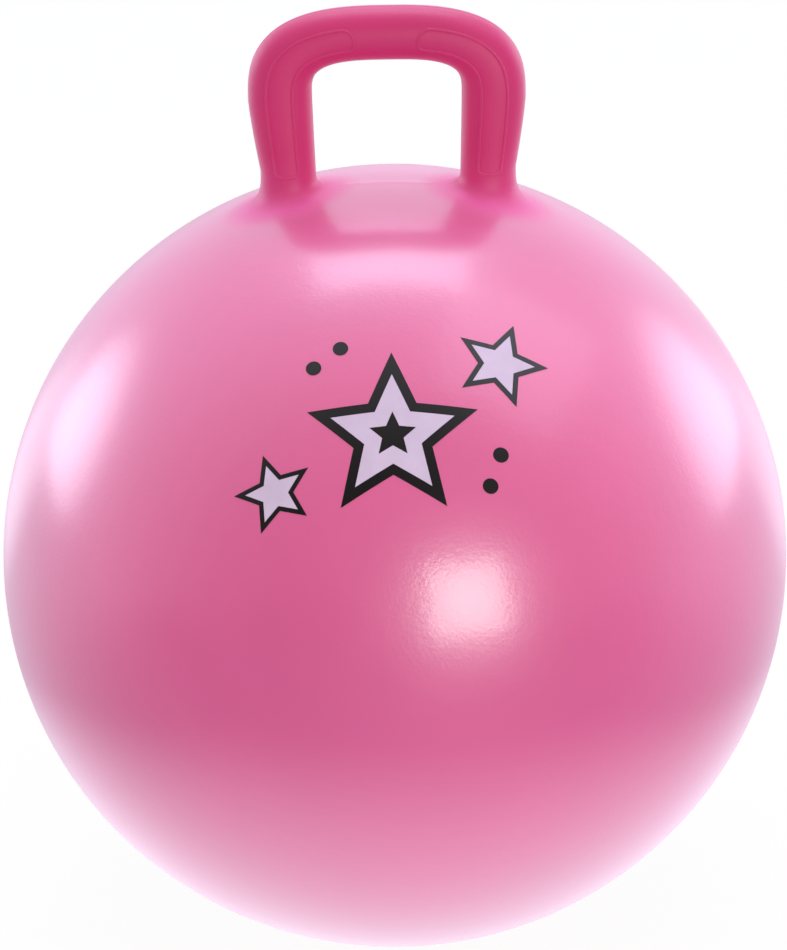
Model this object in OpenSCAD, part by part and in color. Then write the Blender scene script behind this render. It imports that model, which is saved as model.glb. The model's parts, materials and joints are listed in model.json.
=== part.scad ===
// Hopper ball: an air-filled ball with a moulded loop handle on its crown.
// Millimetres, +Z up. The origin is on the floor under the ball's middle, and the printed front faces -Y.

/* [Ball] */
// Diameter of the blown-up ball
ball_d = 450; // [400:1:650]
// Wall of the ball's skin
skin_t = 1; // [0.8:0.1:2.5]
// Radius of the flat that the ball's weight presses on the floor
floor_patch_r = 40; // [25:1:60]

/* [Handle] */
// Width across the handle's shoulders
handle_w = 151; // [142:1:175]
// Width across the outside of the legs at their feet
handle_foot_w = 140; // [132:1:160]
// Clear width of the hand opening at its shoulders
opening_w = 82; // [72:1:92]
// Clear width of the hand opening at the feet of the legs
opening_foot_w = 80; // [72:1:90]
// Height of the handle's top above the ball's crown
handle_rise = 99; // [90:0.5:122]
// Height of the hand opening's top above the ball's crown
opening_rise = 70; // [62:0.5:78]
// Height above the crown where the outer edges bend into the arch
outer_shoulder_rise = 48; // [40:0.5:60]
// Height above the crown where the inner edges bend into the arch
inner_shoulder_rise = 51.5; // [40:0.5:56]
// Depth of a leg at its foot, front to back
leg_depth = 32; // [26:0.5:40]
// Depth of the bar, front to back
bar_depth = 30; // [26:0.5:38]
// Bore of the air space inside the handle
core_d = 12; // [6:0.5:16]
// Squareness of the outer edge's arch, where 2 is an ellipse
outer_arch_power = 2.75; // [2.2:0.05:4]
// Squareness of the opening's arch, where 2 is an ellipse
inner_arch_power = 3.2; // [2.2:0.05:4]
// Squareness of the handle's section, where 2 is an ellipse
section_power = 2.8; // [2:0.1:4]

/* [Handle roots] */
// Height above the crown where a flexible root ends and the loop begins
root_rise = 8; // [5:0.5:14]
// Spread of a root over the skin, beyond the leg that it carries
root_flare = 9; // [5:0.5:12]
// Thickness of a root's edge on the skin
root_edge_t = 0.6; // [0.4:0.1:1.5]

/* [Valve] */
// Angle of the valve above the ball's waist, at the back
valve_latitude = 35; // [10:1:60]
// Bore of the valve seat
valve_bore_d = 9; // [6:0.5:12]
// Wall of the valve seat's tube
valve_wall = 3; // [2:0.5:5]
// Length of the valve seat, from its outer face to the end of its tube
valve_seat_l = 28; // [26:1:45]
// Lip of the valve seat around the plug's head
valve_lip = 3; // [2:0.5:6]
// Spread of the flange beyond the lip, bonded to the inside of the skin
valve_flange_w = 8; // [4:0.5:15]
// Thickness of the flange at its rim
valve_flange_t = 2; // [1:0.1:4]

/* [Plug] */
// Diameter of the plug's head
plug_head_d = 17; // [15:0.5:24]
// Thickness of the plug's head
plug_head_t = 3; // [2.4:0.1:5]
// Depth of the pocket that the plug's head sits in
plug_pocket = 2; // [1:0.1:2.2]
// Bevel of the plug's head
plug_bevel = 0.8; // [0.3:0.1:1.5]
// Length of the plug's stem under its head
plug_stem_l = 20; // [14:1:22]
// Number of sealing ribs on the plug's stem
plug_ribs = 3; // [2:1:4]
// Height of a sealing rib on the stem
rib_h = 0.6; // [0.3:0.1:1]
// Length of a sealing rib along the stem
rib_l = 2; // [1:0.5:2.5]

/* [Print] */
// Angle of the print's middle above the ball's waist, at the front
print_latitude = 40; // [25:1:50]
// Thickness of the ink film
print_t = 0.3; // [0.2:0.05:0.6]
// Reach of the large star's points from its middle
large_star_r = 46; // [36:1:50]
// Reach of the middle-sized star's points
middle_star_r = 25; // [18:1:30]
// Reach of the small star's points
small_star_r = 21; // [14:1:26]
// Width of the black border of a star, as a share of its reach
star_border_share = 0.27; // [0.15:0.01:0.35]
// Radius of a loose dot
dot_r = 4; // [2:0.5:6]

/* [Fits] */
// Gap of a moulded or bonded joint
bond_gap = 0.05; // [0.02:0.01:0.1]
// Gap between a sealing rib and the valve's bore
rib_gap = 0.05; // [0.02:0.01:0.1]
// Gap around the plug's head in its pocket
head_gap = 0.3; // [0.2:0.05:0.6]

/* [Hidden] */
$fn = 96;
// Sides of the large round skins, fine enough for the thin pieces that are cut to them.
skin_sides = 480;

skin_pink = [0.87, 0.38, 0.60];
handle_pink = [0.76, 0.22, 0.42];
valve_pink = [0.83, 0.33, 0.55];
plug_white = [0.93, 0.92, 0.90];
ink_black = [0.07, 0.05, 0.06];
ink_pale = [0.84, 0.76, 0.86];

// The ball's middle, crown and inner wall.
ball_r = ball_d / 2;
inner_r = ball_r - skin_t;
ball_centre_z = sqrt(ball_r * ball_r - floor_patch_r * floor_patch_r);
crown_z = ball_centre_z + ball_r;
// The seam line of each round skin is turned to this angle, clear of the handle, the print and the valve.
seam_turn = 45;

// The handle's foot: the middle and the half sizes of a leg's section where it leaves its root.
foot_x = (handle_foot_w + opening_foot_w) / 4;
foot_half_w = (handle_foot_w - opening_foot_w) / 4;
foot_half_d = leg_depth / 2;
core_r = core_d / 2;

// Steps of the handle's sweep: along a leg, over half of the arch, and around the section.
leg_steps = 5;
arch_steps = 14;
section_sides = 28;
// How quickly a leg's lean dies out on the way to its shoulder.
leg_lean_power = 1.25;
// Steps of a root's fillet, and how far its solid is carried below the skin before it is cut to it.
root_steps = 7;
root_sink = 3;

// The valve, measured outwards along its axis from the ball's middle.
bore_r = valve_bore_d / 2;
tube_r = bore_r + valve_wall;
head_r = plug_head_d / 2;
pocket_r = head_r + head_gap;
neck_r = pocket_r + valve_lip;
flange_r = neck_r + valve_flange_w;
seat_face = sqrt(ball_r * ball_r - neck_r * neck_r);
seat_end = seat_face - valve_seat_l;
flange_back = sqrt(inner_r * inner_r - flange_r * flange_r) - valve_flange_t;
pocket_floor = seat_face - plug_pocket;
head_back = pocket_floor + bond_gap;
rib_r = bore_r - rib_gap;
stem_r = rib_r - rib_h;
tip_l = 2.5;
tip_taper = 1;
tip_r = stem_r - tip_taper;
// Cuts run this far past the faces that they open.
over = 1;

// Stars as [across, up, reach, tilt] and loose dots as [across, up], on the print's own flat.
star_points = 5;
// Reach of a star's inner corners, as a share of its points' reach.
star_waist_share = 0.46;
// A smaller star nests beside the large one, its points between the large star's, with this gap.
star_nest_share = 0.7;
star_gap = 6;
middle_star_turn = 36;
middle_star_tilt = -18;
small_star_turn = 204;
small_star_tilt = 16;
function beside_large(reach, turn, tilt) =
    let (away = large_star_r + star_nest_share * reach + star_gap)
    [away * cos(turn), away * sin(turn), reach, tilt];
STARS = [
    [0, 0, large_star_r, 0],
    beside_large(middle_star_r, middle_star_turn, middle_star_tilt),
    beside_large(small_star_r, small_star_turn, small_star_tilt)
];
dot_away = large_star_r + dot_r + star_gap;
dot_turns = [118, 136, 332, 350];
film_in = ball_r + bond_gap;
film_out = film_in + print_t;
// Gap between the two inks, so that they lie beside each other.
ink_gap = 0.2;

// A number raised to a power with its sign kept.
function signed_pow(v, p) = sign(v) * pow(abs(v), p);

// A point of a superellipse with half sizes a and b at a turn.
function section_point(a, b, turn) =
    [a * signed_pow(cos(turn), 2 / section_power), b * signed_pow(sin(turn), 2 / section_power)];

// The outward direction of that superellipse at the same turn.
function section_normal(a, b, turn) =
    let (p = 2 * (section_power - 1) / section_power,
         n = [signed_pow(cos(turn), p) / a, signed_pow(sin(turn), p) / b])
    n / norm(n);

// A point of a leg's edge, given widths across both legs, from its foot (share 0) to its shoulder (share 1).
function leg_edge(foot_w, shoulder_w, shoulder_rise, share) =
    [(shoulder_w - (shoulder_w - foot_w) * pow(1 - share, leg_lean_power)) / 2,
     root_rise + share * (shoulder_rise - root_rise)];

// A point of an arch over a half width, from its shoulder (turn 0) to its top (turn 90).
function arch_edge(half_w, shoulder, top, power, turn) =
    [half_w * pow(cos(turn), 2 / power), shoulder + (top - shoulder) * pow(sin(turn), 2 / power)];

// Stations of the right half of the handle, each [outer edge point, inner edge point, half depth].
function leg_stations() = [
    for (i = [0 : leg_steps - 1])
    let (share = i / leg_steps)
    [leg_edge(handle_foot_w, handle_w, outer_shoulder_rise, share),
     leg_edge(opening_foot_w, opening_w, inner_shoulder_rise, share),
     leg_depth / 2]
];
function arch_stations() = [
    for (i = [0 : arch_steps])
    let (turn = 90 * i / arch_steps, taper = pow(sin(turn), 2))
    [arch_edge(handle_w / 2, outer_shoulder_rise, handle_rise, outer_arch_power, turn),
     arch_edge(opening_w / 2, inner_shoulder_rise, opening_rise, inner_arch_power, turn),
     leg_depth / 2 + taper * (bar_depth - leg_depth) / 2]
];
function right_half() = concat(leg_stations(), arch_stations());

function flipped(p) = [-p[0], p[1]];

// The whole loop, from the right foot over the top to the left foot.
function loop_stations() =
    let (half = right_half(), last = len(half) - 1)
    concat(half, [for (i = [1 : last]) let (s = half[last - i]) [flipped(s[0]), flipped(s[1]), s[2]]]);

// A ring of points around one station: the handle's outside, or its round core.
function station_ring(station, core) =
    let (middle = (station[0] + station[1]) / 2,
         across = station[0] - station[1],
         half_w = norm(across) / 2,
         u = across / norm(across))
    [for (k = [0 : section_sides - 1])
        let (turn = 360 * k / section_sides,
             p = core ? core_r * [cos(turn), sin(turn)] : section_point(half_w, station[2], turn))
        [middle[0] + u[0] * p[0], p[1], crown_z + middle[1] + u[1] * p[0]]];

// Two triangles for each side of a ring to the next ring.
function wall_faces(first, second, sides) = [
    for (k = [0 : sides - 1])
    let (n = (k + 1) % sides)
    each [[first + k, second + n, first + n], [first + k, second + k, second + n]]
];

// A fan from a middle point to each side of a ring.
function fan_faces(middle, ring, sides) = [
    for (k = [0 : sides - 1])
    [middle, ring + k, ring + (k + 1) % sides]
];
function turned_over(faces) = [for (f = faces) [f[2], f[1], f[0]]];

// Height of the skin above the crown at a place on top of the ball; it is negative.
function skin_rise(p) = sqrt(ball_r * ball_r - p[0] * p[0] - p[1] * p[1]) - ball_r;

// A ring of the right root's fillet, from its edge on the skin (share 0) to the leg (share 1).
function root_ring(share, drop) = [
    for (k = [0 : section_sides - 1])
    let (turn = 360 * k / section_sides,
         leg = [foot_x, 0] + section_point(foot_half_w, foot_half_d, turn),
         away = root_flare * (1 - sin(90 * share)),
         p = leg + away * section_normal(foot_half_w, foot_half_d, turn),
         lift = (root_rise - skin_rise(leg) - root_edge_t) * (1 - cos(90 * share)))
    [p[0], p[1], crown_z + skin_rise(p) + root_edge_t + lift - drop]
];

// Corners of a star that points up, turned by a tilt.
function star_corners(reach, tilt) = [
    for (i = [0 : 2 * star_points - 1])
    let (turn = 90 + tilt + 180 * i / star_points, r = i % 2 == 0 ? reach : reach * star_waist_share)
    r * [cos(turn), sin(turn)]
];

// Places a piece about the ball's middle.
module at_ball_centre() {
    translate([0, 0, ball_centre_z]) children();
}

// Turns +Z to the outward direction at a latitude on the front or on the back of the ball.
module facing_front(latitude) {
    at_ball_centre() rotate([90 - latitude, 0, 0]) children();
}
module facing_back(latitude) {
    at_ball_centre() rotate([latitude - 90, 0, 0]) children();
}

// A ball of radius r, flattened underneath where it stands on a floor that is floor_lift higher.
module standing_ball(r, floor_lift) {
    floor_z = floor_lift - ball_centre_z;
    difference() {
        rotate([0, 0, seam_turn]) sphere(r, $fn = skin_sides);
        translate([-r, -r, floor_z - r]) cube([2 * r, 2 * r, r]);
    }
}

// A cylinder along the valve's axis, between two distances from the ball's middle.
module valve_turned(r, from, to) {
    translate([0, 0, from]) cylinder(r = r, h = to - from);
}

// The air way into the right leg: a cut from the ball's hollow up through the skin and the root.
module air_way() {
    translate([foot_x, 0, ball_centre_z]) cylinder(r = core_r, h = ball_r + root_rise + over);
}

module ball_skin() {
    color(skin_pink) difference() {
        at_ball_centre() difference() {
            standing_ball(ball_r, 0);
            standing_ball(inner_r, skin_t);
        }
        facing_back(valve_latitude) valve_turned(neck_r + bond_gap, flange_back, ball_r + over);
        air_way();
        mirror([1, 0, 0]) air_way();
    }
}

module handle_loop() {
    stations = loop_stations();
    count = len(stations);
    sides = section_sides;
    core = count * sides;
    last = (count - 1) * sides;
    points = concat(
        [for (s = stations) each station_ring(s, false)],
        [for (s = stations) each station_ring(s, true)]
    );
    outside = [for (i = [0 : count - 2]) each wall_faces(i * sides, (i + 1) * sides, sides)];
    inside = [for (i = [0 : count - 2]) each wall_faces(core + (i + 1) * sides, core + i * sides, sides)];
    feet = concat(wall_faces(core, 0, sides), wall_faces(last, core + last, sides));
    color(handle_pink) polyhedron(points, concat(outside, inside, feet));
}

// The right root: a fillet that spreads from the leg over the skin, with the air way through it.
module handle_root() {
    rings = concat([root_ring(0, root_sink)], [for (i = [0 : root_steps]) root_ring(i / root_steps, 0)]);
    count = len(rings);
    sides = section_sides;
    below = count * sides;
    points = concat(
        [for (r = rings) each r],
        [[foot_x, 0, crown_z + skin_rise([foot_x, 0]) - root_sink], [foot_x, 0, crown_z + root_rise]]
    );
    walls = [for (i = [0 : count - 2]) each wall_faces(i * sides, (i + 1) * sides, sides)];
    ends = concat(fan_faces(below, 0, sides), turned_over(fan_faces(below + 1, below - sides, sides)));
    color(handle_pink) difference() {
        polyhedron(points, concat(walls, ends));
        at_ball_centre() rotate([0, 0, seam_turn]) sphere(ball_r + bond_gap, $fn = skin_sides);
        air_way();
    }
}

module right_handle_root() {
    handle_root();
}

module left_handle_root() {
    mirror([1, 0, 0]) handle_root();
}

module valve_seat() {
    color(valve_pink) facing_back(valve_latitude) difference() {
        union() {
            valve_turned(tube_r, seat_end, seat_face);
            valve_turned(neck_r, flange_back, seat_face);
            intersection() {
                valve_turned(flange_r, flange_back, ball_r);
                rotate([90, 0, 0]) sphere(inner_r - bond_gap, $fn = skin_sides);
            }
        }
        valve_turned(bore_r, seat_end - over, seat_face + over);
        valve_turned(pocket_r, pocket_floor, seat_face + over);
    }
}

module valve_plug() {
    head_front = head_back + plug_head_t;
    stem_end = head_back - plug_stem_l;
    rib_pitch = plug_stem_l / plug_ribs;
    color(plug_white) facing_back(valve_latitude) {
        valve_turned(head_r, head_back, head_front - plug_bevel);
        translate([0, 0, head_front - plug_bevel])
            cylinder(r1 = head_r, r2 = head_r - plug_bevel, h = plug_bevel);
        valve_turned(stem_r, stem_end, head_back);
        translate([0, 0, stem_end - tip_l]) cylinder(r1 = tip_r, r2 = stem_r, h = tip_l);
        for (i = [0 : plug_ribs - 1])
            valve_turned(rib_r, stem_end + i * rib_pitch + rib_l, stem_end + i * rib_pitch + 2 * rib_l);
    }
}

// A flat shape laid on the front of the ball as a film of ink.
module ink_film() {
    facing_front(print_latitude) intersection() {
        translate([0, 0, ball_r / 2]) linear_extrude(height = ball_r) children();
        rotate([90, 0, 0]) difference() {
            sphere(film_out, $fn = skin_sides);
            sphere(film_in, $fn = skin_sides);
        }
    }
}

module star(place, share) {
    translate([place[0], place[1]]) polygon(star_corners(place[2] * share, place[3]));
}

module print_black() {
    color(ink_black) {
        for (s = STARS)
            ink_film() difference() {
                star(s, 1);
                star(s, 1 - star_border_share);
            }
        ink_film() star(STARS[0], star_border_share);
        for (turn = dot_turns)
            ink_film() translate(dot_away * [cos(turn), sin(turn)]) circle(dot_r);
    }
}

module print_pale() {
    color(ink_pale) {
        ink_film() difference() {
            star(STARS[0], 1 - star_border_share - ink_gap / large_star_r);
            star(STARS[0], star_border_share + ink_gap / large_star_r);
        }
        for (i = [1 : len(STARS) - 1])
            ink_film() star(STARS[i], 1 - star_border_share - ink_gap / STARS[i][2]);
    }
}

ball_skin();
handle_loop();
left_handle_root();
right_handle_root();
valve_seat();
valve_plug();
print_black();
print_pale();
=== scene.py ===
"""Looks of the hopper ball: a soft PVC ball with a moulded loop handle, a star print and a valve at the back.

Metres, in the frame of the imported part: +Z up, the floor at zero, the printed front towards -Y.
"""
import json
import math

import bmesh
import bpy
from mathutils import Matrix, Vector


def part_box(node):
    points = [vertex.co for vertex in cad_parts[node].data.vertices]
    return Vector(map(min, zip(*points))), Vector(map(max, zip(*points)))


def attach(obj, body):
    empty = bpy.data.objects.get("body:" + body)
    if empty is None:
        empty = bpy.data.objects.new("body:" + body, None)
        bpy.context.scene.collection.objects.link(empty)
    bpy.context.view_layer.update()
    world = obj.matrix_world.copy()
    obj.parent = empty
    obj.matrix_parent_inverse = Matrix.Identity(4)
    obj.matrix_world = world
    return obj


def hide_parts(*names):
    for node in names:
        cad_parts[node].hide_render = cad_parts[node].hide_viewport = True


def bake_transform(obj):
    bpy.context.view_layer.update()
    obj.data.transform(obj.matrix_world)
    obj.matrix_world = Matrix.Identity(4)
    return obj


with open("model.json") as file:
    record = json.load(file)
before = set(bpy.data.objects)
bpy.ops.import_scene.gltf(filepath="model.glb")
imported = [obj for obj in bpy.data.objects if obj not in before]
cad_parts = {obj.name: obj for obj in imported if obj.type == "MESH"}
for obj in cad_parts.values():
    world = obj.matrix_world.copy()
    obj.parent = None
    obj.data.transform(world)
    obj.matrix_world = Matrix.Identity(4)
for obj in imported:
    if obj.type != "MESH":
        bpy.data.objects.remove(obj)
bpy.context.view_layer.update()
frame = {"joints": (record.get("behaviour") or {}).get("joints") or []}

MM = 0.001

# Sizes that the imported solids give
skin_low, skin_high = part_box("ball_skin")
loop_low, loop_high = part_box("handle_loop")
BALL_R = (skin_high.x - skin_low.x) / 2
CROWN_Z = skin_high.z
BALL_CENTRE = Vector((0, 0, CROWN_Z - BALL_R))
HANDLE_HALF_W = loop_high.x
LEG_HALF_D = loop_high.y
HANDLE_RISE = loop_high.z - CROWN_Z
ROOT_RISE = loop_low.z - CROWN_Z
PULL_AXIS = Vector(next(j["axis"] for j in frame["joints"] if j["name"] == "plug_pull")).normalized()

# Sizes of the handle that its box doesn't give, as in the solids
FOOT_HALF_W = 70 * MM
OPENING_HALF_W = 41 * MM
OPENING_FOOT_HALF_W = 40 * MM
OPENING_RISE = 70 * MM
OUTER_SHOULDER_RISE = 48 * MM
INNER_SHOULDER_RISE = 51.5 * MM
BAR_HALF_D = 15 * MM
OUTER_ARCH_POWER = 2.75
INNER_ARCH_POWER = 3.2
LEG_LEAN_POWER = 1.25

# The section is rounder than in the solids, and each root's fillet runs out longer and thinner over the skin.
# A skirt carries the fillet's edge on under the skin, sunk by a share of the root's height.
SECTION_POWER = 2.2
ROOT_FLARE = 16 * MM
ROOT_TAIL_POWER = 1.6
SKIRT_W = 3 * MM
SKIRT_SINK = 0.004

# The mould's parting ridge, in the plane of the handle
RIDGE_HALF_W = 0.9 * MM
RIDGE_H = 0.22 * MM
RIDGE_FULL_X = 40 * MM
RIDGE_END_X = 75 * MM

# Raised outline of a panel on the handle's corners. Its offset is a share of the section's half width.
# It ends at a share of the leg and at an angle of the arch, in rounds that reach a further share of each.
BEAD_OFFSET = 0.40
BEAD_HALF_W = 0.85 * MM
BEAD_H = 0.65 * MM
BEAD_LEG_END = 0.06
BEAD_BAR_END = 75.5
BEAD_LEG_ROUND = 0.06
BEAD_BAR_ROUND = 0.05
BEAD_ROUND_POWER = 0.9

# Valve, as in the solids: radii, and depths behind the seat's face
SKIN_T = 1 * MM
BORE_R = 4.5 * MM
TUBE_R = 7.5 * MM
PLUG_HEAD_R = 8.5 * MM
POCKET_R = 8.8 * MM
NECK_R = 11.8 * MM
FLANGE_R = 19.8 * MM
FLANGE_T = 2 * MM
SEAT_L = 28 * MM
POCKET_DEPTH = 2 * MM
PLUG_GAP = 0.05 * MM
PLUG_HEAD_T = 3 * MM
PLUG_STEM_L = 20 * MM
STEM_R = 3.85 * MM
RIB_R = 4.45 * MM
RIB_L = 2 * MM
RIB_COUNT = 3
TIP_L = 2.5 * MM
TIP_R = 2.85 * MM

# Softer forms of the valve than in the solids: a round lip, a round and dished head, ribs that slope up
LIP_ROUND = 0.8 * MM
HEAD_ROUND = 0.9 * MM
HEAD_DISH = 0.7 * MM
DISH_FLOOR_SHARE = 0.4
RIB_SLOPE_SHARE = 0.7

# Print: stars as across, up, reach and tilt on a flat that touches the ball, as in the solids
PRINT_LATITUDE = math.radians(40)
LARGE_STAR_R = 46 * MM
MIDDLE_STAR_R = 25 * MM
SMALL_STAR_R = 21 * MM
STAR_POINTS = 5
STAR_WAIST = 0.46
STAR_BORDER = 0.27
STAR_NEST = 0.7
STAR_GAP = 6 * MM
DOT_R = 4 * MM
DOT_TURNS = (118, 136, 332, 350)
INK_GAP = 0.2 * MM

# The ink film is thinner than in the solids, and it lies just clear of the skin
INK_LIFT = 0.06 * MM
INK_T = 0.16 * MM

# Mesh fineness. The ridge's own cuts are shares of its half width on the ball, and degrees on a section
BALL_RINGS = 128
BALL_STEPS = 256
BALL_RIDGE_CUTS = (-1.0, -0.6, -0.25, 0.25, 0.6, 1.0)
SECTION_RIDGE_CUTS = (-2.6, -1.2, -0.5, 0.5, 1.2, 2.6)
SECTION_TURNS = 60
LEG_STEPS = 12
ARCH_STEPS = 44
ROOT_STEPS = 14
BEAD_STEPS = 60
BEAD_ROUND_STEPS = 12
BEAD_TURNS = 10
LATHE_STEPS = 72
ROUND_STEPS = 5
HOLE_CUTS = 2
DOT_STEPS = 32
INK_GRID = 5 * MM
SHARP_ANGLE = math.radians(40)
MERGE_GAP = 0.001 * MM
BALL_MERGE_GAP = 0.01 * MM

# Colours
SKIN_PINK = "#DF508E"
# A lighter pink painted around the handle's roots as light, not a colour of the PVC
ROOT_PAINTED_LIGHT_PINK = "#EA5CA3"
HANDLE_PINK = "#CC1E68"
HANDLE_SHINE = "#A6A6A6"
SHEEN_PINK = "#FFC4DE"
INK_BLACK = "#120A0E"
INK_PALE = "#CDB4CF"
VALVE_PINK = "#CF4C80"
PLUG_WHITE = "#DAD5CD"

# Finish of the soft PVC: its clouds vary the tone and the roughness by a share
PEARL_IOR = 2.0
SKIN_ROUGHNESS = 0.34
HANDLE_ROUGHNESS = 0.5
SKIN_COAT = 0.8
COAT_ROUGHNESS = 0.16
SHEEN_WEIGHT = 0.8
SHEEN_ROUGHNESS = 0.4
CLOUD_SIZE = 80 * MM
CLOUD_TONE = 0.07
CLOUD_ROUGHNESS = 0.1
RIPPLE_SIZE = 7 * MM
RIPPLE_H = 0.06 * MM
PEBBLE_SIZE = 1.7 * MM
PEBBLE_H = 0.055 * MM

# How far the handle's deep colour, the dull surface and the painted lighter pink around the roots reach from
# the middle
# # of each foot, and the heights above the crown where the leg's own colour starts and is full
ROOT_DEEP_R = 12 * MM
ROOT_FADE_R = 26 * MM
DULL_R = 22 * MM
DULL_FADE_R = 42 * MM
GRIP_START = -2 * MM
GRIP_FULL = 24 * MM

# Finish of the ink
VINYL_IOR = 1.5
BLACK_ROUGHNESS = 0.32
PALE_ROUGHNESS = 0.36
INK_COAT = 0.25
INK_COAT_ROUGHNESS = 0.12
COVER_SIZE = 12 * MM
COVER_TONE = 0.12
MESH_SIZE = 0.8 * MM
MESH_H = 0.004 * MM

# Finish of the valve
PVC_IOR = 1.53
SEAT_ROUGHNESS = 0.38
PLUG_ROUGHNESS = 0.35
TINT_SIZE = 6 * MM
TINT_LOW = 0.9
TINT_HIGH = 1.08
GRIT_SIZE = 0.5 * MM
GRIT_H = 0.004 * MM


def linear(hex_colour):
    """A colour written as sRGB hex, turned to the linear values that shaders take."""
    values = [int(hex_colour[i:i + 2], 16) / 255 for i in (1, 3, 5)]
    return [v / 12.92 if v <= 0.04045 else ((v + 0.055) / 1.055) ** 2.4 for v in values] + [1.0]


def add(tree, kind, settings=None, inputs=None):
    """Adds a node to a tree. Each input, by name or number, is set to a value or linked to a socket."""
    node = tree.nodes.new(kind)
    for name, value in (settings or {}).items():
        setattr(node, name, value)
    for key, value in (inputs or {}).items():
        if isinstance(value, bpy.types.NodeSocket):
            tree.links.new(value, node.inputs[key])
        else:
            node.inputs[key].default_value = value
    return node


def new_material(name):
    """An empty node material, its tree and its output node."""
    material = bpy.data.materials.new(name)
    material.use_nodes = True
    tree = material.node_tree
    tree.nodes.clear()
    return material, tree, add(tree, "ShaderNodeOutputMaterial")


def soft_pvc():
    """Rotationally moulded soft PVC: a pearly sheen under a thin gloss on the ball, matt on the handle."""
    material, tree, output = new_material("soft_pvc_pearl")
    place = add(tree, "ShaderNodeTexCoord").outputs["Object"]
    split = add(tree, "ShaderNodeSeparateXYZ", None, {0: place})
    # The wall is thick in the handle, and its deep matt colour thins out over the skin around each root
    side = add(tree, "ShaderNodeMath", {"operation": "ABSOLUTE"}, {0: split.outputs["X"]})
    away = add(tree, "ShaderNodeMath", {"operation": "SUBTRACT"}, {0: side.outputs[0], 1: FOOT_X})
    flat = add(tree, "ShaderNodeCombineXYZ", None, {0: away.outputs[0], 1: split.outputs["Y"]})
    reach = add(tree, "ShaderNodeVectorMath", {"operation": "LENGTH"}, {0: flat.outputs[0]})
    above = add(tree, "ShaderNodeMath", {"operation": "GREATER_THAN"},
                {0: split.outputs["Z"], 1: BALL_CENTRE.z})
    root = add(tree, "ShaderNodeMapRange", {"interpolation_type": "SMOOTHSTEP"},
               {"Value": reach.outputs["Value"], "From Min": ROOT_FADE_R, "From Max": ROOT_DEEP_R})
    root_above = add(tree, "ShaderNodeMath", {"operation": "MULTIPLY"},
                     {0: root.outputs[0], 1: above.outputs[0]})
    grip = add(tree, "ShaderNodeMapRange", {"interpolation_type": "SMOOTHSTEP"},
               {"Value": split.outputs["Z"],
                "From Min": CROWN_Z + GRIP_START, "From Max": CROWN_Z + GRIP_FULL})
    depth = add(tree, "ShaderNodeMix", {"data_type": "FLOAT"},
                {0: grip.outputs[0], 2: root_above.outputs[0], 3: 1.0})
    dull = add(tree, "ShaderNodeMapRange", {"interpolation_type": "SMOOTHSTEP"},
               {"Value": reach.outputs["Value"], "From Min": DULL_FADE_R, "From Max": DULL_R})
    dull_and_painted_light = add(tree, "ShaderNodeMath", {"operation": "MULTIPLY"},
                     {0: dull.outputs[0], 1: above.outputs[0]})
    # Painted light: the skin around each root is painted a lighter pink, lifting the shade the handle casts
    # there and the reflection that the matt zone lacks
    root_painted_light = add(tree, "ShaderNodeMix", {"data_type": "RGBA"},
               {0: dull_and_painted_light.outputs[0], 6: linear(SKIN_PINK), 7: linear(ROOT_PAINTED_LIGHT_PINK)})
    hue = add(tree, "ShaderNodeMix", {"data_type": "RGBA"},
              {0: depth.outputs[0], 6: root_painted_light.outputs[2], 7: linear(HANDLE_PINK)})
    plain = add(tree, "ShaderNodeMath", {"operation": "MAXIMUM"},
                {0: dull_and_painted_light.outputs[0], 1: grip.outputs[0]})
    gloss = add(tree, "ShaderNodeMapRange", None,
                {"Value": plain.outputs[0], "To Min": SKIN_COAT, "To Max": 0.0})
    shine = add(tree, "ShaderNodeMix", {"data_type": "RGBA"},
                {0: plain.outputs[0], 6: (1, 1, 1, 1), 7: linear(HANDLE_SHINE)})
    # Faint clouds in the colour and the gloss, a hand's breadth across
    clouds = add(tree, "ShaderNodeTexNoise", None, {"Vector": place, "Scale": 1 / CLOUD_SIZE, "Detail": 2.0})
    gain = add(tree, "ShaderNodeMapRange", {"clamp": False},
               {"Value": clouds.outputs["Fac"], "To Min": 1 - CLOUD_TONE, "To Max": 1 + CLOUD_TONE})
    tone = add(tree, "ShaderNodeHueSaturation", None, {"Value": gain.outputs[0], "Color": hue.outputs[2]})
    matt = add(tree, "ShaderNodeMapRange", None,
               {"Value": plain.outputs[0], "To Min": SKIN_ROUGHNESS, "To Max": HANDLE_ROUGHNESS})
    mottle = add(tree, "ShaderNodeMapRange", {"clamp": False},
                 {"Value": clouds.outputs["Fac"],
                  "To Min": 1 - CLOUD_ROUGHNESS, "To Max": 1 + CLOUD_ROUGHNESS})
    rough = add(tree, "ShaderNodeMath", {"operation": "MULTIPLY"}, {0: matt.outputs[0], 1: mottle.outputs[0]})
    # Ripples of the mould's wall and a fine pebble, which speckle the highlights
    ripple = add(tree, "ShaderNodeTexNoise", None, {"Vector": place, "Scale": 1 / RIPPLE_SIZE, "Detail": 1.0})
    pebble = add(tree, "ShaderNodeTexNoise", None, {"Vector": place, "Scale": 1 / PEBBLE_SIZE, "Detail": 1.0})
    wave = add(tree, "ShaderNodeBump", None, {"Height": ripple.outputs["Fac"], "Distance": RIPPLE_H})
    grain = add(tree, "ShaderNodeBump", None,
                {"Height": pebble.outputs["Fac"], "Distance": PEBBLE_H, "Normal": wave.outputs[0]})
    skin = add(tree, "ShaderNodeBsdfPrincipled", None, {
        "Base Color": tone.outputs[0], "Roughness": rough.outputs[0], "IOR": PEARL_IOR,
        "Normal": grain.outputs[0], "Specular Tint": shine.outputs[2],
        "Coat Weight": gloss.outputs[0], "Coat Roughness": COAT_ROUGHNESS, "Coat Normal": grain.outputs[0],
        "Sheen Weight": SHEEN_WEIGHT, "Sheen Roughness": SHEEN_ROUGHNESS, "Sheen Tint": linear(SHEEN_PINK)})
    tree.links.new(skin.outputs[0], output.inputs["Surface"])
    return material


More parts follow.
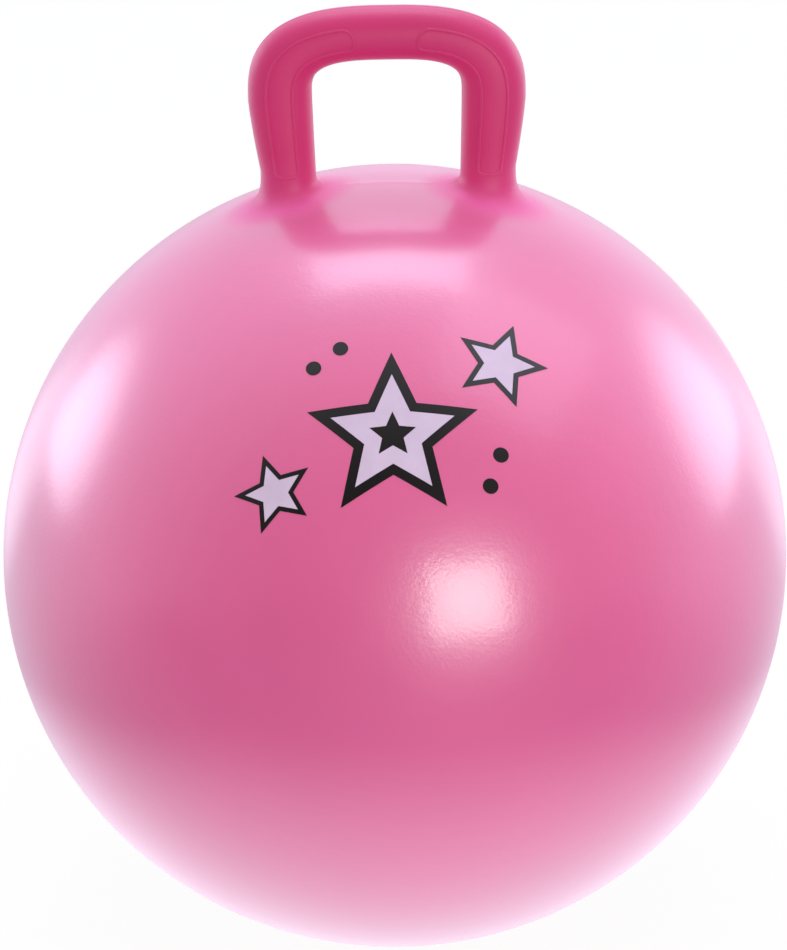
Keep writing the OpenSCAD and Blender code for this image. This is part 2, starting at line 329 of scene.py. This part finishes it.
def screen_ink(name, colour, roughness):
    """Vinyl screen ink: an even glossy film that keeps a trace of the screen's mesh."""
    material, tree, output = new_material(name)
    place = add(tree, "ShaderNodeTexCoord").outputs["Object"]
    cover = add(tree, "ShaderNodeTexNoise", None, {"Vector": place, "Scale": 1 / COVER_SIZE, "Detail": 3.0})
    gain = add(tree, "ShaderNodeMapRange", {"clamp": False},
               {"Value": cover.outputs["Fac"], "To Min": 1 - COVER_TONE, "To Max": 1 + COVER_TONE})
    tone = add(tree, "ShaderNodeHueSaturation", None, {"Value": gain.outputs[0], "Color": linear(colour)})
    # The screen's threads are too fine to show, so their trace is drawn 0.8 mm apart
    mesh = add(tree, "ShaderNodeTexNoise", None, {"Vector": place, "Scale": 1 / MESH_SIZE, "Detail": 1.0})
    trace = add(tree, "ShaderNodeBump", None, {"Height": mesh.outputs["Fac"], "Distance": MESH_H})
    ink = add(tree, "ShaderNodeBsdfPrincipled", None, {
        "Base Color": tone.outputs[0], "Roughness": roughness, "IOR": VINYL_IOR, "Normal": trace.outputs[0],
        "Coat Weight": INK_COAT, "Coat Roughness": INK_COAT_ROUGHNESS})
    tree.links.new(ink.outputs[0], output.inputs["Surface"])
    return material


def moulded_pvc(name, colour, roughness):
    """Injection-moulded PVC of the valve: an even satin with a very fine grain."""
    material, tree, output = new_material(name)
    place = add(tree, "ShaderNodeTexCoord").outputs["Object"]
    tint = add(tree, "ShaderNodeTexNoise", None, {"Vector": place, "Scale": 1 / TINT_SIZE, "Detail": 2.0})
    gain = add(tree, "ShaderNodeMapRange", {"clamp": False},
               {"Value": tint.outputs["Fac"], "To Min": TINT_LOW, "To Max": TINT_HIGH})
    tone = add(tree, "ShaderNodeHueSaturation", None, {"Value": gain.outputs[0], "Color": linear(colour)})
    grit = add(tree, "ShaderNodeTexNoise", None, {"Vector": place, "Scale": 1 / GRIT_SIZE, "Detail": 1.0})
    grain = add(tree, "ShaderNodeBump", None, {"Height": grit.outputs["Fac"], "Distance": GRIT_H})
    body = add(tree, "ShaderNodeBsdfPrincipled", None, {
        "Base Color": tone.outputs[0], "Roughness": roughness, "IOR": PVC_IOR, "Normal": grain.outputs[0]})
    tree.links.new(body.outputs[0], output.inputs["Surface"])
    return material


def finished(bm, name, material):
    """Turns a bmesh into a piece, smooth but for its corners, with its material."""
    bmesh.ops.remove_doubles(bm, verts=bm.verts, dist=MERGE_GAP)
    bmesh.ops.recalc_face_normals(bm, faces=bm.faces)
    for face in bm.faces:
        face.smooth = True
    for edge in bm.edges:
        edge.smooth = edge.is_manifold and edge.calc_face_angle() < SHARP_ANGLE
    mesh = bpy.data.meshes.new(name)
    bm.to_mesh(mesh)
    bm.free()
    piece = bpy.data.objects.new(name, mesh)
    bpy.context.scene.collection.objects.link(piece)
    mesh.materials.append(material)
    return piece


def skin_rise(x, y):
    """Height of the skin above the crown at a place on top of the ball; it is negative."""
    return math.sqrt(BALL_R ** 2 - x * x - y * y) - BALL_R


def smooth_step(low, high, value):
    """0 at the low end, 1 at the high end, and an even swing between them."""
    share = min(1.0, max(0.0, (value - low) / (high - low)))
    return share * share * (3 - 2 * share)


def ridge(away):
    """Height of the parting ridge at a distance from its middle."""
    return RIDGE_H * smooth_step(RIDGE_HALF_W, 0, abs(away))


def ball_skin(material):
    """The ball: a half circle spun about Y, with the parting ridge, the flat below and the valve's hole."""
    bm = bmesh.new()
    steps = [math.radians(180 * i / BALL_RINGS - 90) for i in range(BALL_RINGS + 1)]
    fine = [RIDGE_HALF_W / BALL_R * share for share in BALL_RIDGE_CUTS]
    line = []
    for turn in sorted(steps + fine):
        y = BALL_R * math.sin(turn)
        line.append(bm.verts.new(BALL_CENTRE + Vector((0, y, BALL_R * math.cos(turn)))))
    edges = [bm.edges.new(pair) for pair in zip(line, line[1:])]
    bmesh.ops.spin(bm, geom=line + edges, cent=BALL_CENTRE, axis=(0, 1, 0), angle=math.radians(360),
                   steps=BALL_STEPS, use_merge=True)
    bmesh.ops.remove_doubles(bm, verts=bm.verts, dist=BALL_MERGE_GAP)
    # The parting ridge shows on the crown and dies out past the handle's roots
    for v in bm.verts:
        if abs(v.co.y) < RIDGE_HALF_W and v.co.z > BALL_CENTRE.z:
            v.co.z += ridge(v.co.y) * smooth_step(RIDGE_END_X, RIDGE_FULL_X, abs(v.co.x))
    for place, outward in ((Vector((0, 0, 0)), Vector((0, 0, -1))), (VALVE_FACE, PULL_AXIS)):
        bmesh.ops.bisect_plane(bm, geom=bm.verts[:] + bm.edges[:] + bm.faces[:], plane_co=place,
                               plane_no=outward, clear_outer=True)
    foot = [e for e in bm.edges if e.is_boundary and all(abs(v.co.z) < BALL_MERGE_GAP for v in e.verts)]
    bmesh.ops.triangulate(bm, faces=bmesh.ops.contextual_create(bm, geom=foot)["faces"])
    # The cut around the valve is brought to a true circle
    bmesh.ops.subdivide_edges(bm, edges=[e for e in bm.edges if e.is_boundary], cuts=HOLE_CUTS)
    for v in bm.verts:
        if v.is_boundary:
            v.co = VALVE_FACE + (v.co - VALVE_FACE).normalized() * NECK_R
    piece = finished(bm, "ball_skin_moulding", material)
    wall = piece.modifiers.new("wall", "SOLIDIFY")
    wall.thickness = SKIN_T
    wall.offset = -1
    return piece


def signed_pow(value, power):
    """A power of a value's size that keeps its sign."""
    return math.copysign(abs(value) ** power, value)


def section(half_w, half_d):
    """Points around a section of the handle: across it and along Y, with the parting ridge on both edges."""
    points = []
    for turn in SECTION_ANGLES:
        p = half_w * signed_pow(math.cos(turn), 2 / SECTION_POWER)
        q = half_d * signed_pow(math.sin(turn), 2 / SECTION_POWER)
        points.append((p + math.copysign(ridge(q), p), q))
    return points


def section_normal(half_w, half_d, turn):
    """The outward direction at a point of a section."""
    power = 2 * (SECTION_POWER - 1) / SECTION_POWER
    across = signed_pow(math.cos(turn), power) / half_w
    along = signed_pow(math.sin(turn), power) / half_d
    return Vector((across, along)).normalized()


def leg_station(share):
    """Outer and inner edge point and half depth of the right leg, from its foot (0) to its shoulder (1)."""
    lean = (1 - share) ** LEG_LEAN_POWER
    outer = Vector((HANDLE_HALF_W - (HANDLE_HALF_W - FOOT_HALF_W) * lean,
                    ROOT_RISE + share * (OUTER_SHOULDER_RISE - ROOT_RISE)))
    inner = Vector((OPENING_HALF_W - (OPENING_HALF_W - OPENING_FOOT_HALF_W) * lean,
                    ROOT_RISE + share * (INNER_SHOULDER_RISE - ROOT_RISE)))
    return outer, inner, LEG_HALF_D


def arch_station(turn):
    """The same on the right half of the arch, from its shoulder (0 degrees) to the middle of the bar (90)."""
    c, s = max(0.0, math.cos(math.radians(turn))), math.sin(math.radians(turn))
    outer = Vector((HANDLE_HALF_W * c ** (2 / OUTER_ARCH_POWER),
                    OUTER_SHOULDER_RISE + (HANDLE_RISE - OUTER_SHOULDER_RISE) * s ** (2 / OUTER_ARCH_POWER)))
    inner = Vector((OPENING_HALF_W * c ** (2 / INNER_ARCH_POWER),
                    INNER_SHOULDER_RISE + (OPENING_RISE - INNER_SHOULDER_RISE) * s ** (2 / INNER_ARCH_POWER)))
    return outer, inner, LEG_HALF_D + (BAR_HALF_D - LEG_HALF_D) * s * s


def station_ring(station):
    """A ring of points around the handle at a station."""
    outer, inner, half_d = station
    middle = (outer + inner) / 2
    across = (outer - inner) / 2
    u = across.normalized()
    return [Vector((middle.x + u.x * p, q, CROWN_Z + middle.y + u.y * p))
            for p, q in section(across.length, half_d)]


def root_ring(spread, lift):
    """A ring around the right root, spread beyond the leg and lifted by a share of the root's height."""
    half_w = (FOOT_HALF_W - OPENING_FOOT_HALF_W) / 2
    ring = []
    for turn, (p, q) in zip(SECTION_ANGLES, section(half_w, LEG_HALF_D)):
        leg = Vector((FOOT_X + p, q))
        spot = leg + section_normal(half_w, LEG_HALF_D, turn) * spread
        rise = skin_rise(spot.x, spot.y) + lift * (ROOT_RISE - skin_rise(leg.x, leg.y))
        ring.append(Vector((spot.x, spot.y, CROWN_Z + rise)))
    return ring


def root_fillet(share):
    """A ring of the right root's fillet, from its edge on the skin (0) up to the leg (1)."""
    turn = math.radians(90 * share)
    return root_ring(ROOT_FLARE * (1 - math.sin(turn)) ** ROOT_TAIL_POWER, 1 - math.cos(turn))


def flipped(ring):
    """The ring on the other side of the handle, with its points in the same order around the sweep."""
    return [Vector((-p.x, p.y, p.z)) for p in ring]


def sweep(bm, rings, closed=False):
    """Skins a tube: the first ring is drawn, and each next ring is extruded from the one before."""
    ring = [bm.verts.new(p) for p in rings[0]]
    edges = [bm.edges.new(pair) for pair in zip(ring, ring[1:] + ring[:1])]
    first = edges
    for points in rings[1:] + (rings[:1] if closed else []):
        made = bmesh.ops.extrude_edge_only(bm, edges=edges)["geom"]
        fresh = {g for g in made if isinstance(g, bmesh.types.BMVert)}
        ring = [next(e.other_vert(v) for e in v.link_edges if e.other_vert(v) in fresh) for v in ring]
        for vert, point in zip(ring, points):
            vert.co = point
        edges = [g for g in made if isinstance(g, bmesh.types.BMEdge) and all(v in fresh for v in g.verts)]
    if closed:
        bmesh.ops.remove_doubles(bm, verts=bm.verts, dist=MERGE_GAP)
    else:
        for end in (first, edges):
            bmesh.ops.contextual_create(bm, geom=end)


def handle_moulding(material):
    """The loop with both roots, skinned from under the skin at the right root over the bar to the left."""
    half = [root_ring(ROOT_FLARE + SKIRT_W, -SKIRT_SINK)]
    half += [root_fillet(i / ROOT_STEPS) for i in range(ROOT_STEPS)]
    half += [station_ring(leg_station(i / LEG_STEPS)) for i in range(LEG_STEPS)]
    half += [station_ring(arch_station(90 * i / ARCH_STEPS)) for i in range(ARCH_STEPS)]
    top = [station_ring(arch_station(90))]
    bm = bmesh.new()
    sweep(bm, half + top + [flipped(r) for r in reversed(half)])
    return finished(bm, "handle_moulding", material)


def bead_point(along, offset, face):
    """A point on the handle's front (-1) or back (1), along the leg (0 to 1) and arch (1 up), and across."""
    outer, inner, half_d = leg_station(along) if along < 1 else arch_station((along - 1) * 90)
    spot = (outer + inner) / 2 + (outer - inner) / 2 * offset
    depth = half_d * (1 - abs(offset) ** SECTION_POWER) ** (1 / SECTION_POWER)
    return Vector((spot.x, face * depth, CROWN_Z + spot.y))


def bead_path(face):
    """The closed outline of a panel that follows the leg, the corner and a part of the bar."""
    low, high = BEAD_LEG_END, 1 + BEAD_BAR_END / 90
    shares = [i / BEAD_STEPS for i in range(BEAD_STEPS)]
    rounds = []
    for i in range(BEAD_ROUND_STEPS + 1):
        turn = math.pi * i / BEAD_ROUND_STEPS
        rounds.append((math.sin(turn) ** BEAD_ROUND_POWER,
                       BEAD_OFFSET * signed_pow(math.cos(turn), BEAD_ROUND_POWER)))
    path = [bead_point(low + (high - low) * share, BEAD_OFFSET, face) for share in shares]
    path += [bead_point(high + BEAD_BAR_ROUND * out, across, face) for out, across in rounds]
    path += [bead_point(high + (low - high) * share, -BEAD_OFFSET, face) for share in shares[1:]]
    path += [bead_point(low - BEAD_LEG_ROUND * out, -across, face) for out, across in rounds]
    return path


def corner_beads(material):
    """Raised panel outlines on the front and back of both corners of the handle."""
    bm = bmesh.new()
    turns = [2 * math.pi * k / BEAD_TURNS for k in range(BEAD_TURNS)]
    for face in (-1, 1):
        path = bead_path(face)
        out = Vector((0, face, 0))
        rings = []
        for before, spot, after in zip(path[-1:] + path[:-1], path, path[1:] + path[:1]):
            side = (after - before).normalized().cross(out).normalized()
            rings.append([spot + side * BEAD_HALF_W * math.cos(t) + out * BEAD_H * math.sin(t)
                          for t in turns])
        for mirrored in (False, True):
            sweep(bm, [flipped(r) for r in rings] if mirrored else rings, closed=True)
    return finished(bm, "handle_corner_beads", material)


def lathe(profile, name, material):
    """Spins a closed profile of radius and distance from the ball's middle about the valve's axis."""
    bm = bmesh.new()
    across = PULL_AXIS.orthogonal().normalized()
    line = [bm.verts.new(BALL_CENTRE + across * r + PULL_AXIS * s) for r, s in profile]
    edges = [bm.edges.new(pair) for pair in zip(line, line[1:])]
    bmesh.ops.spin(bm, geom=line + edges, cent=BALL_CENTRE, axis=PULL_AXIS, angle=math.radians(360),
                   steps=LATHE_STEPS, use_merge=True)
    return finished(bm, name, material)


def rounded(corner_r, corner_s, radius, start):
    """Points of a quarter round about a corner's middle, from a start turn in degrees, going clockwise."""
    turns = [math.radians(start - 90 * i / ROUND_STEPS) for i in range(ROUND_STEPS + 1)]
    return [(corner_r + radius * math.cos(t), corner_s + radius * math.sin(t)) for t in turns]


def valve_seat(material):
    """The seat: a lip around the plug's pocket, a flange inside the skin and a tube with the bore."""
    inside = BALL_R - SKIN_T
    tube_end = SEAT_FACE - SEAT_L
    pocket_floor = SEAT_FACE - POCKET_DEPTH
    lip_middle = SEAT_FACE - LIP_ROUND * 0.5
    flange_face = math.sqrt(inside ** 2 - FLANGE_R ** 2)
    flange_back = flange_face - FLANGE_T
    profile = [(BORE_R, tube_end), (BORE_R, pocket_floor), (POCKET_R, pocket_floor)]
    profile += rounded(POCKET_R + LIP_ROUND, lip_middle, LIP_ROUND, 180)
    profile += rounded(NECK_R - LIP_ROUND, lip_middle, LIP_ROUND, 90)
    profile += [(NECK_R, math.sqrt(inside ** 2 - NECK_R ** 2)), (FLANGE_R, flange_face),
                (FLANGE_R, flange_back), (TUBE_R, flange_back), (TUBE_R, tube_end), (BORE_R, tube_end)]
    return lathe(profile, "valve_seat_sleeve", material)


def valve_plug(material):
    """The stopper: a dished head with a rounded rim, a ribbed stem and a tapered tip."""
    back = SEAT_FACE - POCKET_DEPTH + PLUG_GAP
    front = back + PLUG_HEAD_T
    end = back - PLUG_STEM_L
    profile = [(0, end - TIP_L), (TIP_R, end - TIP_L), (STEM_R, end)]
    pitch = PLUG_STEM_L / RIB_COUNT
    for i in range(RIB_COUNT):
        low = end + i * pitch + RIB_L
        profile += [(STEM_R, low), (RIB_R, low + RIB_L * RIB_SLOPE_SHARE),
                    (RIB_R, low + RIB_L), (STEM_R, low + RIB_L)]
    profile += [(STEM_R, back), (PLUG_HEAD_R, back)]
    profile += list(reversed(rounded(PLUG_HEAD_R - HEAD_ROUND, front - HEAD_ROUND, HEAD_ROUND, 90)))
    # The dish: its edge, the foot of its wall and its floor
    profile += [(PLUG_HEAD_R - 2 * HEAD_ROUND, front),
                (PLUG_HEAD_R - 2.6 * HEAD_ROUND, front - 0.8 * HEAD_DISH),
                (PLUG_HEAD_R * DISH_FLOOR_SHARE, front - HEAD_DISH), (0, front - HEAD_DISH)]
    return lathe(profile, "valve_plug_stopper", material)


def star_loop(bm, star, share):
    """The closed edge loop of a star on the print's flat."""
    across, up, reach, tilt = star
    verts = []
    for i in range(2 * STAR_POINTS):
        turn = math.radians(90 + tilt + 180 / STAR_POINTS * i)
        r = reach * share * (1 if i % 2 == 0 else STAR_WAIST)
        verts.append(bm.verts.new((across + r * math.cos(turn), up + r * math.sin(turn), 0)))
    return [bm.edges.new(pair) for pair in zip(verts, verts[1:] + verts[:1])]


def filled_star(bm, star, share):
    """A star filled up to a share of its reach."""
    bmesh.ops.contextual_create(bm, geom=star_loop(bm, star, share))


def star_border(bm, star, outer, inner):
    """A band of a star between two shares of its reach."""
    bmesh.ops.bridge_loops(bm, edges=star_loop(bm, star, outer) + star_loop(bm, star, inner))


def laid_on_ball(bm, name, material):
    """Cuts flat ink shapes fine enough to follow the ball, lays them on it and gives them a thickness."""
    bmesh.ops.triangulate(bm, faces=bm.faces)
    for axis in (Vector((1, 0, 0)), Vector((0, 1, 0))):
        reach = max(abs(v.co.dot(axis)) for v in bm.verts)
        count = int(reach / INK_GRID)
        for i in range(-count, count + 1):
            bmesh.ops.bisect_plane(bm, geom=bm.verts[:] + bm.edges[:] + bm.faces[:],
                                   plane_co=axis * (i * INK_GRID), plane_no=axis)
    radius = BALL_R + INK_LIFT + INK_T
    facing = Matrix.Rotation(math.radians(90) - PRINT_LATITUDE, 3, "X")
    for v in bm.verts:
        u, w = v.co.x, v.co.y
        v.co = BALL_CENTRE + facing @ Vector((u, w, math.sqrt(radius ** 2 - u * u - w * w)))
    bmesh.ops.recalc_face_normals(bm, faces=bm.faces)
    for face in bm.faces:
        if face.normal.dot(face.calc_center_median() - BALL_CENTRE) < 0:
            face.normal_flip()
    bmesh.ops.solidify(bm, geom=bm.faces[:], thickness=INK_T)
    return finished(bm, name, material)


def beside_large(reach, turn, tilt):
    """A smaller star that nests between the large star's points."""
    away = LARGE_STAR_R + STAR_NEST * reach + STAR_GAP
    return away * math.cos(math.radians(turn)), away * math.sin(math.radians(turn)), reach, tilt


def print_black(material):
    """The black of the print: the stars' borders, the heart of the large star and the loose dots."""
    bm = bmesh.new()
    for star in STARS:
        star_border(bm, star, 1, 1 - STAR_BORDER)
    filled_star(bm, STARS[0], STAR_BORDER)
    away = LARGE_STAR_R + DOT_R + STAR_GAP
    for turn in DOT_TURNS:
        spot = Vector((away * math.cos(math.radians(turn)), away * math.sin(math.radians(turn)), 0))
        bmesh.ops.create_circle(bm, cap_ends=True, segments=DOT_STEPS, radius=DOT_R,
                                matrix=Matrix.Translation(spot))
    return laid_on_ball(bm, "print_black_ink", material)


def print_pale(material):
    """The pale insides of the stars, a hair clear of the black."""
    bm = bmesh.new()
    gap = INK_GAP / LARGE_STAR_R
    star_border(bm, STARS[0], 1 - STAR_BORDER - gap, STAR_BORDER + gap)
    for star in STARS[1:]:
        filled_star(bm, star, 1 - STAR_BORDER - INK_GAP / star[2])
    return laid_on_ball(bm, "print_pale_ink", material)


# Derived places
FOOT_X = (FOOT_HALF_W + OPENING_FOOT_HALF_W) / 2
SEAT_FACE = math.sqrt(BALL_R ** 2 - NECK_R ** 2)
VALVE_FACE = BALL_CENTRE + PULL_AXIS * SEAT_FACE
STARS = [(0, 0, LARGE_STAR_R, 0), beside_large(MIDDLE_STAR_R, 36, -18), beside_large(SMALL_STAR_R, 204, 16)]
even = [360 * k / SECTION_TURNS for k in range(SECTION_TURNS)]
near_ridge = [edge + step for edge in (0, 180) for step in SECTION_RIDGE_CUTS]
SECTION_ANGLES = [math.radians(t) for t in sorted(even + [t % 360 for t in near_ridge])]

# The moulding: ball, handle and beads
pvc = soft_pvc()
ball = ball_skin(pvc)
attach(ball, "ball")
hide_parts("ball_skin")
handle = handle_moulding(pvc)
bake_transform(handle)
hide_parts("handle_loop", "left_handle_root", "right_handle_root")
beads = corner_beads(pvc)
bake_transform(beads)

# Valve
seat = valve_seat(moulded_pvc("pvc_valve_seat", VALVE_PINK, SEAT_ROUGHNESS))
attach(seat, "ball")
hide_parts("valve_seat")
plug = valve_plug(moulded_pvc("pvc_plug", PLUG_WHITE, PLUG_ROUGHNESS))
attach(plug, "plug")
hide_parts("valve_plug")

# Print
black = print_black(screen_ink("vinyl_ink_black", INK_BLACK, BLACK_ROUGHNESS))
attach(black, "ball")
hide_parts("print_black")
pale = print_pale(screen_ink("vinyl_ink_pale", INK_PALE, PALE_ROUGHNESS))
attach(pale, "ball")
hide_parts("print_pale")

# Camera: the photograph's distance, height and slight roll. The ball's middle lies below the picture's middle
FRAME_H_PX = 950
FOCAL_PX = 3106
BALL_BELOW_PX = 79
SENSOR_W = 36
CAMERA_AWAY = 8 * BALL_R
CAMERA_ELEVATION = math.radians(24.3)
CAMERA_RAISE = math.atan(BALL_BELOW_PX / FOCAL_PX)
CAMERA_ROLL = math.radians(1.0)
camera_data = bpy.data.cameras.new("photo_camera")
camera_data.sensor_width = SENSOR_W
camera_data.lens = FOCAL_PX * SENSOR_W / FRAME_H_PX
camera = bpy.data.objects.new("photo_camera", camera_data)
bpy.context.scene.collection.objects.link(camera)
camera_way = Vector((0, -math.cos(CAMERA_ELEVATION), math.sin(CAMERA_ELEVATION)))
camera.location = BALL_CENTRE + CAMERA_AWAY * camera_way
camera_tilt = math.radians(90) - (CAMERA_ELEVATION - CAMERA_RAISE)
camera.matrix_world = (Matrix.Translation(camera.location) @ Matrix.Rotation(camera_tilt, 4, "X")
                       @ Matrix.Rotation(-CAMERA_ROLL, 4, "Z"))
bpy.context.scene.camera = camera

# Name, azimuth, elevation, distance, size, power and colour of each box
LIGHTS = (
    ("front_box", 19, 11.2, 1.6, (0.59, 0.55), 6.7, "#F0FFF7"),
    ("key_box", 85, 61, 2.0, (1.4, 1.2), 4.5, "#E6ECFF"),
    ("top_box", 180, 65, 2.0, (1.1, 0.9), 11.2, "#DCEAFF"),
)

# Azimuth, elevation, inner and outer angle and strength of the soft glows at the sides.
# The low ones reach down onto the floor.
GLOWS = (
    (-122, 9, 2, 19, 3.8),
    (122, 8, 2, 22, 3.2),
)
LOW_GLOWS = (
    (-139, -7, 2, 15, 1.1),
    (138, -7, 2, 15, 0.85),
)

# Light of the world on plain surfaces, from all round and rising towards a place almost overhead
AMBIENT = 0.59
SKY_AMBIENT = 1.1
SKY_AZIMUTH = -90
SKY_ELEVATION = 78

# The room in reflections: dark on the camera's side and bright behind the ball, turning over along Y
ROOM_FRONT = 0.03
ROOM_BACK = 1.18
ROOM_TURN_START = -0.95
ROOM_TURN_END = 0.4
FRONT_TINT = "#FFFCF2"
BACK_TINT = "#E8ECFC"

# The floor is grey paper to plain light. The camera and reflections see a share of glow over it, and to the
# camera the glow and the lit paper come to white together
FLOOR_HALF_W = 6
FLOOR_DROP = 0.5 * MM
PAPER_GREY = 0.72
FLOOR_SHARE = 0.93
FLOOR_SEEN = 1.02

# The floor in reflections: a pool of light under the ball, dark in front, and lit beside and behind it
FLOOR_GLOW = 0.95
FLOOR_FRONT = 0.08
POOL_LEVEL = 2.0
POOL_R = 0.12
POOL_END_R = 0.62
BACK_START_Y = -0.55
BACK_END_Y = 0.8
BACK_SIDE_SHARE = 0.35
FLOOR_TINT = "#EAF3FF"


def toward(azimuth, elevation):
    """A direction from the ball. Azimuth 0 is the camera's side, and positive is to its right."""
    a, e = math.radians(azimuth), math.radians(elevation)
    return Vector((math.sin(a) * math.cos(e), -math.cos(a) * math.cos(e), math.sin(e)))


def softbox(name, azimuth, elevation, away, size, watts, colour):
    """An area light aimed at the ball."""
    data = bpy.data.lights.new(name, "AREA")
    data.shape = "RECTANGLE"
    data.size, data.size_y = size
    data.energy = watts
    data.color = linear(colour)[:3]
    lamp = bpy.data.objects.new(name, data)
    bpy.context.scene.collection.objects.link(lamp)
    lamp.location = BALL_CENTRE + away * toward(azimuth, elevation)
    lamp.rotation_euler = (BALL_CENTRE - lamp.location).to_track_quat("-Z", "Y").to_euler()
    lamp.visible_camera = False


def with_glows(tree, way, level, glows):
    """A light level with soft glows added to it, by the direction from the ball."""
    for azimuth, elevation, inner, outer, strength in glows:
        near = add(tree, "ShaderNodeVectorMath", {"operation": "DOT_PRODUCT"},
                   {0: way, 1: toward(azimuth, elevation)})
        soft = add(tree, "ShaderNodeMapRange", {"interpolation_type": "SMOOTHSTEP"},
                   {"Value": near.outputs["Value"], "From Min": math.cos(math.radians(outer)),
                    "From Max": math.cos(math.radians(inner)), "To Max": strength})
        level = add(tree, "ShaderNodeMath", {"operation": "ADD"}, {0: level, 1: soft.outputs[0]}).outputs[0]
    return level


for light_spec in LIGHTS:
    softbox(*light_spec)

# Floor
floor_bm = bmesh.new()
bmesh.ops.create_grid(floor_bm, x_segments=1, y_segments=1, size=FLOOR_HALF_W)
floor_mesh = bpy.data.meshes.new("floor")
floor_bm.to_mesh(floor_mesh)
floor_bm.free()
floor = bpy.data.objects.new("floor", floor_mesh)
bpy.context.scene.collection.objects.link(floor)
floor.location.z = -FLOOR_DROP
floor_material, tree, output = new_material("white_floor")
rays = add(tree, "ShaderNodeLightPath")
seen = add(tree, "ShaderNodeMath", {"operation": "MAXIMUM"},
           {0: rays.outputs["Is Camera Ray"], 1: rays.outputs["Is Glossy Ray"]})
seen_through = add(tree, "ShaderNodeMath", {"operation": "MAXIMUM"},
                   {0: seen.outputs[0], 1: rays.outputs["Is Transmission Ray"]})
share = add(tree, "ShaderNodeMath", {"operation": "MULTIPLY"}, {0: seen_through.outputs[0], 1: FLOOR_SHARE})
paper = add(tree, "ShaderNodeBsdfDiffuse", None, {"Color": (PAPER_GREY, PAPER_GREY, PAPER_GREY, 1)})
spot = add(tree, "ShaderNodeTexCoord").outputs["Object"]
spread = add(tree, "ShaderNodeVectorMath", {"operation": "LENGTH"}, {0: spot})
pool = add(tree, "ShaderNodeMapRange", {"interpolation_type": "SMOOTHSTEP"},
           {"Value": spread.outputs["Value"], "From Min": POOL_END_R, "From Max": POOL_R,
            "To Min": FLOOR_FRONT * FLOOR_GLOW, "To Max": POOL_LEVEL * FLOOR_GLOW})
place = add(tree, "ShaderNodeSeparateXYZ", None, {0: spot})
aside = add(tree, "ShaderNodeMath", {"operation": "ABSOLUTE"}, {0: place.outputs["X"]})
beyond = add(tree, "ShaderNodeMath", {"operation": "MULTIPLY_ADD"},
             {0: aside.outputs[0], 1: BACK_SIDE_SHARE, 2: place.outputs["Y"]})
back = add(tree, "ShaderNodeMapRange", {"interpolation_type": "SMOOTHSTEP"},
           {"Value": beyond.outputs[0], "From Min": BACK_START_Y, "From Max": BACK_END_Y,
            "To Max": FLOOR_GLOW})
lit = add(tree, "ShaderNodeMath", {"operation": "MAXIMUM"}, {0: pool.outputs[0], 1: back.outputs[0]})
from_ball = add(tree, "ShaderNodeVectorMath", {"operation": "SUBTRACT"}, {0: spot, 1: BALL_CENTRE})
way = add(tree, "ShaderNodeVectorMath", {"operation": "NORMALIZE"}, {0: from_ball.outputs[0]})
lit_sides = with_glows(tree, way.outputs[0], lit.outputs[0], LOW_GLOWS)
level = add(tree, "ShaderNodeMix", {"data_type": "FLOAT"},
            {0: rays.outputs["Is Camera Ray"], 2: lit_sides, 3: FLOOR_SEEN})
cool = add(tree, "ShaderNodeMix", {"data_type": "RGBA"},
           {0: rays.outputs["Is Camera Ray"], 6: linear(FLOOR_TINT), 7: (1, 1, 1, 1)})
glow = add(tree, "ShaderNodeEmission", None, {"Color": cool.outputs[2], "Strength": level.outputs[0]})
mixed = add(tree, "ShaderNodeMixShader", None, {0: share.outputs[0], 1: paper.outputs[0], 2: glow.outputs[0]})
tree.links.new(mixed.outputs[0], output.inputs["Surface"])
floor_mesh.materials.append(floor_material)

# World: white to the camera, the room in reflections, and plain light elsewhere
world = bpy.data.worlds.new("studio")
bpy.context.scene.world = world
world.use_nodes = True
tree = world.node_tree
tree.nodes.clear()
output = add(tree, "ShaderNodeOutputWorld")
rays = add(tree, "ShaderNodeLightPath")
seen = add(tree, "ShaderNodeMath", {"operation": "MAXIMUM"},
           {0: rays.outputs["Is Camera Ray"], 1: rays.outputs["Is Transmission Ray"]})
way = add(tree, "ShaderNodeTexCoord").outputs["Generated"]
split = add(tree, "ShaderNodeSeparateXYZ", None, {0: way})
behind = add(tree, "ShaderNodeMapRange", {"interpolation_type": "SMOOTHSTEP"},
             {"Value": split.outputs["Y"], "From Min": ROOM_TURN_START, "From Max": ROOM_TURN_END})
room = add(tree, "ShaderNodeMapRange", None,
           {"Value": behind.outputs[0], "To Min": ROOM_FRONT, "To Max": ROOM_BACK})
tint = add(tree, "ShaderNodeMix", {"data_type": "RGBA"},
           {0: behind.outputs[0], 6: linear(FRONT_TINT), 7: linear(BACK_TINT)})
colour = add(tree, "ShaderNodeMix", {"data_type": "RGBA"},
             {0: seen.outputs[0], 6: tint.outputs[2], 7: (1, 1, 1, 1)})
above = add(tree, "ShaderNodeVectorMath", {"operation": "DOT_PRODUCT"},
            {0: way, 1: toward(SKY_AZIMUTH, SKY_ELEVATION)})
plain = add(tree, "ShaderNodeMapRange", None,
            {"Value": above.outputs["Value"], "To Min": AMBIENT, "To Max": SKY_AMBIENT})
mirror = add(tree, "ShaderNodeMix", {"data_type": "FLOAT"},
             {0: rays.outputs["Is Glossy Ray"], 2: plain.outputs[0], 3: room.outputs[0]})
lamps = with_glows(tree, way, mirror.outputs[0], GLOWS + LOW_GLOWS)
level = add(tree, "ShaderNodeMix", {"data_type": "FLOAT"}, {0: seen.outputs[0], 2: lamps, 3: 1.0})
light = add(tree, "ShaderNodeBackground", None, {"Color": colour.outputs[2], "Strength": level.outputs[0]})
tree.links.new(light.outputs[0], output.inputs["Surface"])
bpy.context.scene.view_settings.view_transform = "Standard"
